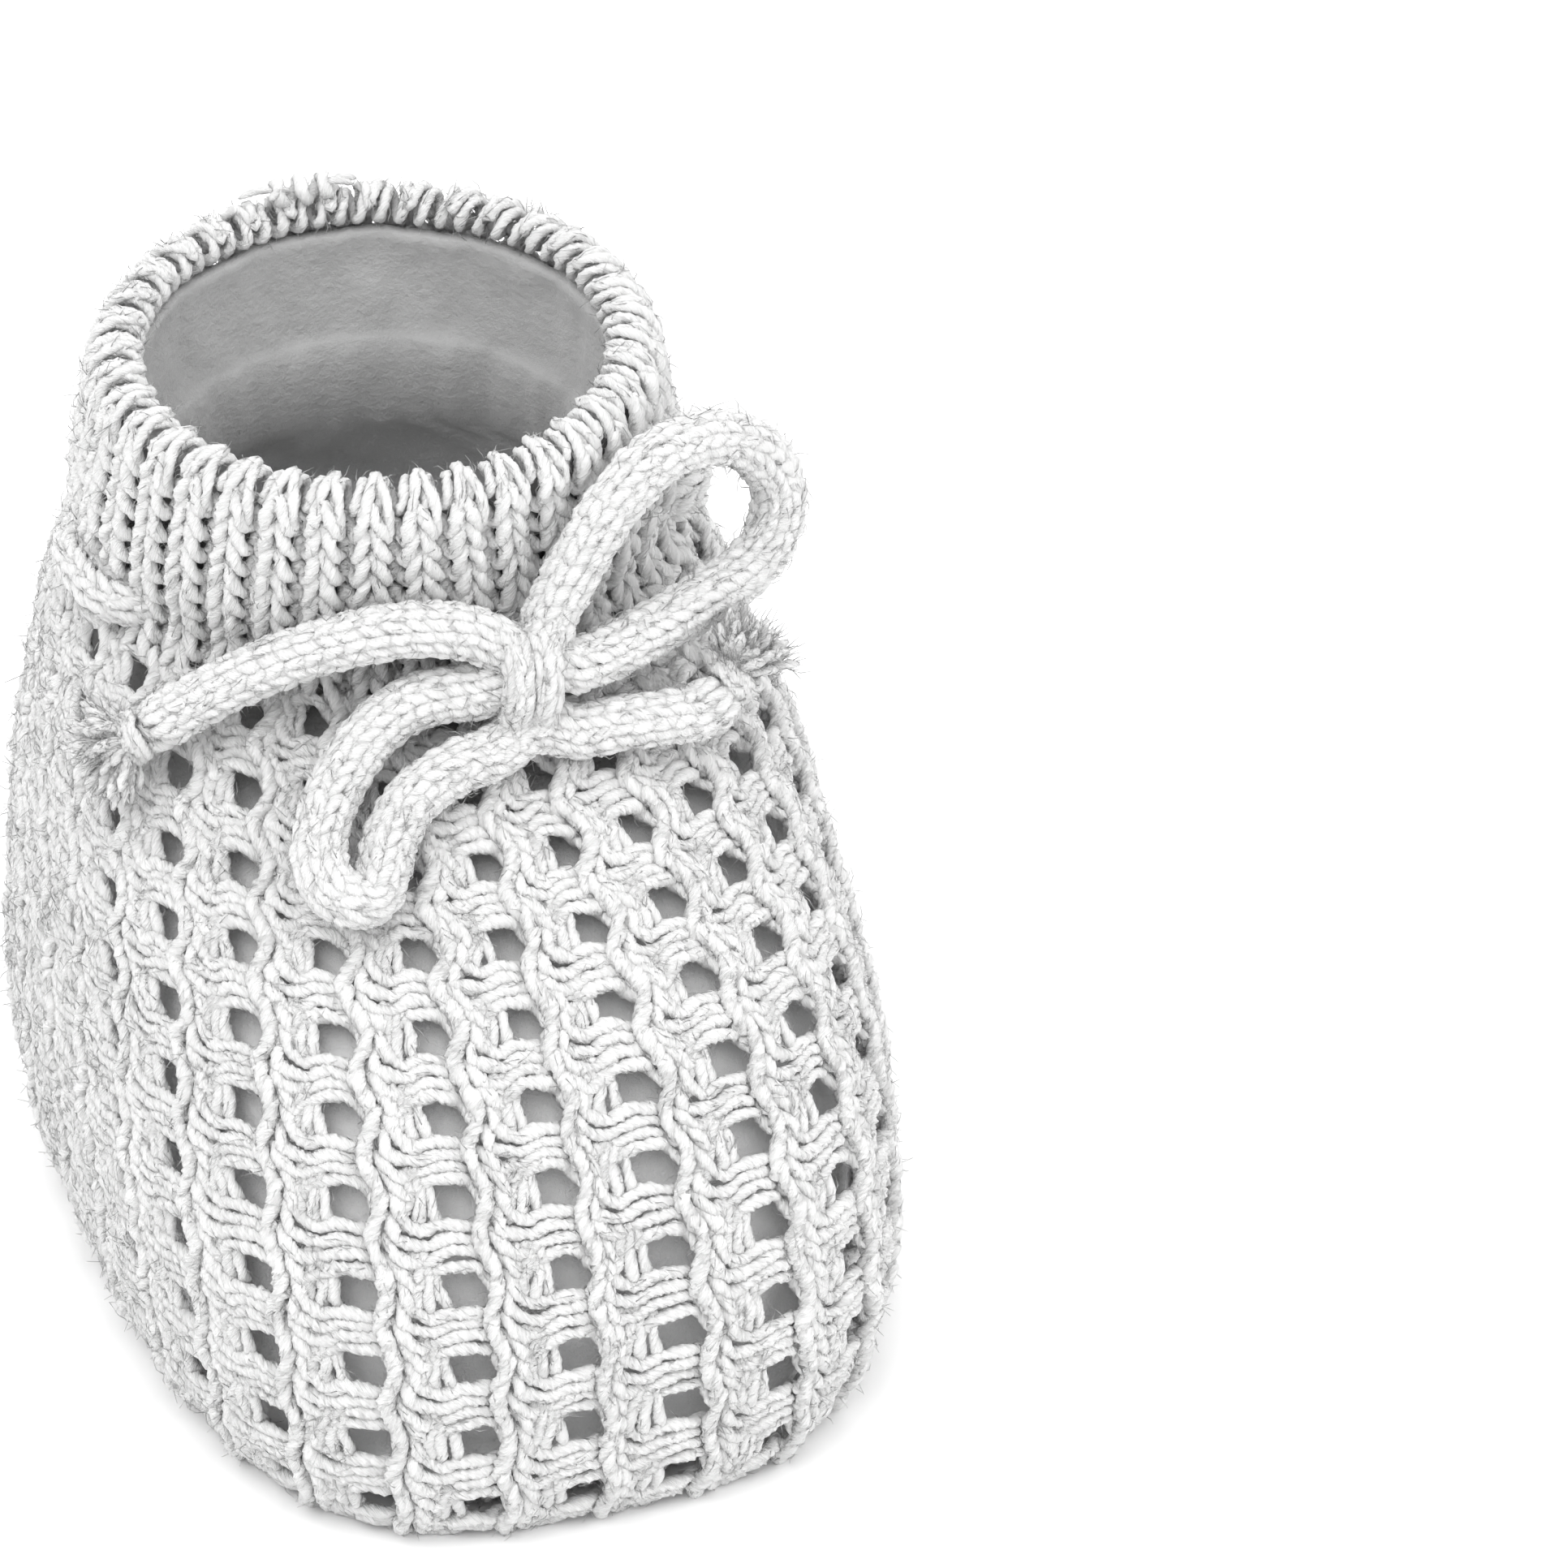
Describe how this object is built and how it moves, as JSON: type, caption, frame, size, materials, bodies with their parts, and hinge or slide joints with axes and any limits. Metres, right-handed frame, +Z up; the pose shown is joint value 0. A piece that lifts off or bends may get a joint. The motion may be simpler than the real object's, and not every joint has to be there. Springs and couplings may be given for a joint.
{
  "type": "baby bootie",
  "caption": "Knitted baby bootie with a lace foot, a ribbed cuff with a rolled rim, and a knitted cord tied in a bow at the ankle.",
  "frame": {"origin": "on the floor under the middle of the bootie, without its free cord", "axes": "+Z up, toe towards -Y, heel towards +Y, +X to the right as seen from in front of the toe"},
  "size_m": [0.0677, 0.1012, 0.0803],
  "materials": {
    "knit_yarn": "soft matt two-ply white baby yarn, knitted",
    "cord_yarn": "soft matt white baby yarn, knitted into a cord",
    "lining": "brushed, matt, pale grey in the shade of the opening"
  },
  "bodies": {
    "root": {"ribbed_cuff": "knit_yarn", "rim_edge": "knit_yarn", "eyelet_band": "knit_yarn", "lace_vamp": "knit_yarn", "lace_side_left": "knit_yarn", "lace_side_right": "knit_yarn", "heel_panel": "knit_yarn", "back_seam": "knit_yarn", "sole": "knit_yarn", "sole_seam": "knit_yarn", "lining": "lining", "tie_cord_ankle": "cord_yarn", "bow_knot": "cord_yarn", "bow_loop_left": "cord_yarn", "bow_loop_right": "cord_yarn", "cord_tail_left": "cord_yarn", "cord_tail_right": "cord_yarn", "end_knot_left": "cord_yarn", "end_knot_right": "cord_yarn", "seam_end_knot": "knit_yarn"}
  },
  "joints": []
}
